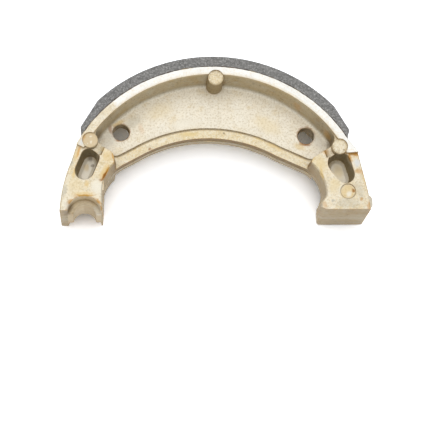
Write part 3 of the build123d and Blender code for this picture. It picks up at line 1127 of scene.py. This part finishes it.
@dataclass
class Casting:
    """The die-cast shoe: its skin, and the flash along its parting line."""

    skin: CastSkin = CastSkin()
    flash: TrimFinish = FLASH_METAL
    arc_radius: float = 53.5
    arc_centre: Point = (-1.9, -19.1)
    arc_angles: Span = (60.0, 120.5)
    anchor_bend: tuple[Point, float] = ((-42.9, 19.5), 14.3)
    anchor_foot: Point = (-42.9, 3.4)
    cam_corner: tuple[Point, float] = ((37.1, 21.6), 3.0)
    cam_wall: tuple[Point, float] = ((43.1, 16.7), 13.5)
    cam_hollow: tuple[Point, float] = ((42.7, 9.0), 0.8)
    cam_toe: tuple[Point, float] = ((40.5, 6.0), 1.4)
    cam_foot: Point = (40.5, 5.2)
    flash_proud: float = 0.22
    flash_sunk: float = 0.15
    flash_width: float = 0.34
    flash_step: float = 0.35
    flash_waves: tuple[Span, ...] = ((9, 0.30), (23, 0.25), (61, 0.22), (97, 0.15))
    flash_seed: int = 7
    tapered_points: float = 6.0

    def build(self) -> list[bpy.types.Object]:
        """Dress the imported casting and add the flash.

        Returns:
            The new pieces.
        """
        dress(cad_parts[CASTING_NODE], self.skin.material())
        piece = self._inner_flash()
        dress(piece, self.flash.material())
        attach(piece, BODY)
        return [piece]

    def _inner_path(self) -> np.ndarray:
        """Inner edge at mid width: straight runs joined by tangent arcs, then evenly spaced.

        Returns:
            Points from the anchor foot to the cam foot, (n, 2), in millimetres.
        """
        centre = np.array(self.arc_centre)
        sweep = np.radians(np.linspace(self.arc_angles[1], self.arc_angles[0], 60))
        arc = centre + self.arc_radius * np.stack([np.cos(sweep), np.sin(sweep)], axis=1)
        start = rounded_run([self.anchor_foot, self.anchor_bend, tuple(arc[0])])
        wall = [self.cam_corner, self.cam_wall, self.cam_hollow, self.cam_toe]
        end = rounded_run([tuple(arc[-1]), *wall, self.cam_foot])
        return even_spacing(np.vstack([start, arc[1:-1], end]), self.flash_step)

    def _inner_flash(self) -> bpy.types.Object:
        """Ragged fin on the inner edge: a low triangle whose height and width wander.

        Returns:
            The flash.
        """
        flat = self._inner_path()
        count = len(flat)
        along = np.gradient(flat, axis=0)
        along /= np.linalg.norm(along, axis=1, keepdims=True)
        out = np.stack([along[:, 1], -along[:, 0], np.zeros(count)], axis=1)
        path = np.column_stack([flat, np.full(count, MIDDLE)])
        rise = np.tile([0.0, 0.0, 1.0], (count, 1))
        noise = smooth_noise(count, self.flash_waves, self.flash_seed, False)
        ragged = np.clip(0.75 + noise, 0.12, 1.4)
        from_end = np.minimum(np.arange(count), np.arange(count)[::-1])
        taper = np.clip(from_end / self.tapered_points, 0.1, 1.0)
        half = 0.5 * self.flash_width * np.clip(ragged, 0.6, 1.2)
        proud = self.flash_proud * ragged * taper
        sink = np.full(count, -self.flash_sunk)
        across = np.stack([-half, -0.25 * half, 0.25 * half, half], axis=1)
        height = np.stack([sink, proud, proud, sink], axis=1)
        grid = carried_profile(path, rise, out, np.stack([across, height], axis=-1))
        return grid_mesh("parting_flash", grid, False, True)


def rounded_run(corners: Sequence[Any]) -> np.ndarray:
    """Polyline with tangent arcs at the corners that give a radius.

    A corner turned by t with radius r starts its arc r * tan(t / 2) before it.

    Args:
        corners: points, or pairs of a point and a radius.

    Returns:
        Points of the run, (n, 2).
    """
    points = [np.array(c[0] if isinstance(c[0], tuple) else c) for c in corners]
    radii = [c[1] if isinstance(c[0], tuple) else 0.0 for c in corners]
    made = [points[0]]
    for before, corner, after, radius in zip(points, points[1:], points[2:], radii[1:]):
        into = (corner - before) / np.linalg.norm(corner - before)
        away = (after - corner) / np.linalg.norm(after - corner)
        turn = math.acos(float(np.clip(into @ away, -1.0, 1.0)))
        back = radius * math.tan(turn / 2)
        first, last = corner - into * back, corner + away * back
        side = math.copysign(1.0, into[0] * away[1] - into[1] * away[0])
        centre = first + side * radius * np.array([-into[1], into[0]])
        east, north = first - centre
        for share in np.linspace(0.0, 1.0, 9):
            cos, sin = math.cos(side * turn * share), math.sin(side * turn * share)
            made.append(centre + np.array([east * cos - north * sin, east * sin + north * cos]))
        made[-1] = last
    made.append(points[-1])
    return np.array(made)


def even_spacing(points: np.ndarray, step: float) -> np.ndarray:
    """Points at even steps along a polyline.

    Args:
        points: the polyline, (n, 2) or (n, 3).
        step: spacing.

    Returns:
        The new points.
    """
    gaps = np.linalg.norm(np.diff(points, axis=0), axis=1)
    run = np.concatenate([[0.0], np.cumsum(gaps)])
    stations = np.linspace(0.0, run[-1], int(run[-1] / step) + 1)
    return np.stack([np.interp(stations, run, column) for column in points.T], axis=1)


@dataclass
class Lining:
    """The bonded friction lining and the adhesive that shows at its edges."""

    composite: FrictionComposite = FrictionComposite()
    film: TrimFinish = ADHESIVE_FILM
    bead_radius: float = 0.15
    bead_step: float = 0.3
    bead_sides: int = 8
    bead_waves: tuple[Span, ...] = ((12, 0.20), (37, 0.16), (88, 0.14), (151, 0.12))
    bead_seed: int = 3
    pressed: float = 0.02

    def build(self) -> list[bpy.types.Object]:
        """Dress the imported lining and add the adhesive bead.

        Returns:
            The new pieces.
        """
        dress(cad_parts[LINING_NODE], self.composite.material())
        bead = self._bead()
        dress(bead, self.film.material())
        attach(bead, BODY)
        return [bead]

    def _seam(self) -> tuple[float, float, float]:
        """Radius of the bonded face and the angles of its two ends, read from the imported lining.

        Returns:
            Radius in millimetres, and the cam and anchor angles in radians.
        """
        points = vertex_places(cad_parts[LINING_NODE].data) / MM
        radius = np.hypot(points[:, 0], points[:, 1])
        foot = radius.min()
        angles = np.arctan2(points[:, 1], points[:, 0])[radius < foot + 0.01]
        return float(foot), float(angles.min()), float(angles.max())

    def _bead(self) -> bpy.types.Object:
        """Thin bead round the seam, a circle whose radius wanders, pressed flat under the shoe.

        Returns:
            The bead.
        """
        radius, low, high = self._seam()
        arc = np.linspace(low, high, 200)
        upper = np.stack([radius * np.cos(arc), radius * np.sin(arc), np.full(200, RIM)], axis=1)
        lower = upper[::-1] * [1.0, 1.0, 0.0]
        loop = np.vstack([upper, lower, upper[:1]])
        path = even_spacing(loop, self.bead_step)[:-1]
        count = len(path)
        along = np.roll(path, -1, axis=0) - np.roll(path, 1, axis=0)
        along /= np.linalg.norm(along, axis=1, keepdims=True)
        outward = path * [1.0, 1.0, 0.0] / radius
        side = np.cross(along, outward)
        side /= np.linalg.norm(side, axis=1, keepdims=True)
        noise = smooth_noise(count, self.bead_waves, self.bead_seed, True)
        size = self.bead_radius * np.clip(0.95 + noise, 0.35, 1.6)
        turn = np.linspace(0.0, 2 * math.pi, self.bead_sides, endpoint=False)
        circle = np.stack([np.cos(turn), np.sin(turn)], axis=1)
        profile = size[:, None, None] * circle[None, :, :]
        rings = carried_profile(path, side, outward, profile)
        rings[..., 2] = np.maximum(rings[..., 2], -self.pressed)
        return grid_mesh("bond_line", rings, True, True)


@dataclass(frozen=True)
class TableTop:
    """White table: white to the camera and in reflections, with a painted shadow near the shoe,
    plain pale to everything else.
    """

    name: str = "table_top"
    seen: Colour = (1.92, 1.95, 2.02)
    lit: float = 0.80
    shade: float = 0.42
    shade_reach: float = 17.0
    shade_openness: Span = (0.10, 0.62)
    shade_samples: int = 16
    half_size: float = 1.2

    def build(self) -> None:
        """Make the table at the shoe's lower side."""
        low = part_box(CASTING_NODE)[0].z
        half = self.half_size
        corners = [(-half, -half, low), (half, -half, low), (half, half, low), (-half, half, low)]
        mesh = bpy.data.meshes.new(self.name)
        mesh.from_pydata(corners, [], [(0, 1, 2, 3)])
        table = add_object(self.name, mesh)
        dress(table, self._material())

    def _material(self) -> bpy.types.Material:
        """Diffuse white that is lighter on camera and glossy rays, with a painted shadow where it is
        closed in near the shoe.

        Returns:
            The material.
        """
        board = new_board(self.name, (self.lit,) * 3)
        path = board.node("ShaderNodeLightPath", out="Is Camera Ray")
        shown = path.most(board.beside(path, "Is Glossy Ray"))
        shown = shown.most(board.beside(path, "Is Transmission Ray"))
        # Painted shadow: seen rays find the table darker where ambient occlusion finds it closed in
        # near the shoe; the seen colour's blue tint shows in this shade.
        near = board.close_up(self.shade_reach, self.shade_samples)
        near = near.step(*self.shade_openness, self.shade, 1.0)
        shadow = board.node("ShaderNodeCombineColor", inputs={0: near, 1: near, 2: near})
        board.over(shown, self.seen)
        board.darken(shown, shadow)
        return board.output(board.node("ShaderNodeBsdfDiffuse", inputs={"Color": board.colour}))


@dataclass(frozen=True)
class Lamp:
    """A soft square lamp.

    Args:
        name: the lamp's name.
        at: its place in metres.
        aim: the point it faces, in metres.
        size: its side in metres.
        power: its power in watts.
    """

    name: str
    at: Place
    aim: Place
    size: float
    power: float

    def build(self) -> None:
        """Make the lamp."""
        data = bpy.data.lights.new(self.name, "AREA")
        data.shape = "SQUARE"
        data.size = self.size
        data.energy = self.power
        lamp = add_object(self.name, data)
        lamp.location = self.at
        facing = Vector(self.aim) - Vector(self.at)
        lamp.rotation_euler = facing.to_track_quat("-Z", "Y").to_euler()


@dataclass(frozen=True)
class Studio:
    """Plain soft light: a wide lamp over the shoe and an even surround."""

    surround: float = 0.48
    seen: float = 1.0
    lamp: Lamp = Lamp("top_lamp", (-0.05, 0.25, 1.00), (0.0, 0.03, 0.0), 1.2, 6.4)

    def build(self) -> None:
        """Make the lamp and the surround, which is white to the camera."""
        self.lamp.build()
        world = bpy.data.worlds.new("surround")
        bpy.context.scene.world = world
        board = Board(world)
        camera = board.node("ShaderNodeLightPath", out="Is Camera Ray")
        levels = {"Value": camera, "To Min": self.surround, "To Max": self.seen}
        strength = board.node("ShaderNodeMapRange", inputs=levels)
        light = {"Color": (1.0, 1.0, 1.0), "Strength": strength}
        board.output(board.node("ShaderNodeBackground", inputs=light), "ShaderNodeOutputWorld")


@dataclass(frozen=True)
class Viewpoint:
    """Camera at the photograph's viewing angle.

    Args:
        aim: the point in the middle of the picture, in millimetres.
        heading: turn of the view from +Y towards +X, in degrees.
        tilt: angle between the view and straight down, in degrees.
        roll: turn of the picture, in degrees.
        distance: from the camera to the aim, in millimetres.
        lens: focal length in millimetres.
        sensor: sensor width in millimetres.
    """

    aim: Place = (-0.357, 0.602, 28.0)
    heading: float = 14.762
    tilt: float = 14.688
    roll: float = -14.049
    distance: float = 581.04
    lens: float = 127.256
    sensor: float = 36.0

    def build(self) -> None:
        """Make the camera and set it as the scene's own."""
        heading, tilt, roll = (math.radians(a) for a in (self.heading, self.tilt, self.roll))
        ahead = Vector((math.sin(heading), math.cos(heading), 0.0))
        view = ahead * math.sin(tilt) - Vector((0.0, 0.0, math.cos(tilt)))
        right = Vector((ahead.y, -ahead.x, 0.0))
        down = view.cross(right)
        across = right * math.cos(roll) + down * math.sin(roll)
        below = down * math.cos(roll) - right * math.sin(roll)
        data = bpy.data.cameras.new("photo_camera")
        data.lens = self.lens
        data.sensor_width = self.sensor
        data.clip_start = 0.05
        data.clip_end = 20.0
        camera = add_object("photo_camera", data)
        turn = Matrix((across, -below, -view)).transposed().to_4x4()
        place = (Vector(self.aim) - view * self.distance) * MM
        camera.matrix_world = Matrix.Translation(place) @ turn
        bpy.context.scene.camera = camera


def main() -> None:
    """Build the view, the light, the table and the shoe's two sub-assemblies."""
    logging.basicConfig(level=logging.INFO, format="%(name)s: %(message)s")
    bpy.context.scene.view_settings.view_transform = "Standard"
    Viewpoint().build()
    Studio().build()
    TableTop().build()
    for assembly in (Casting(), Lining()):
        for piece in assembly.build():
            LOG.info("%s: %d faces", piece.name, len(piece.data.polygons))


if __name__ == "__main__":
    main()
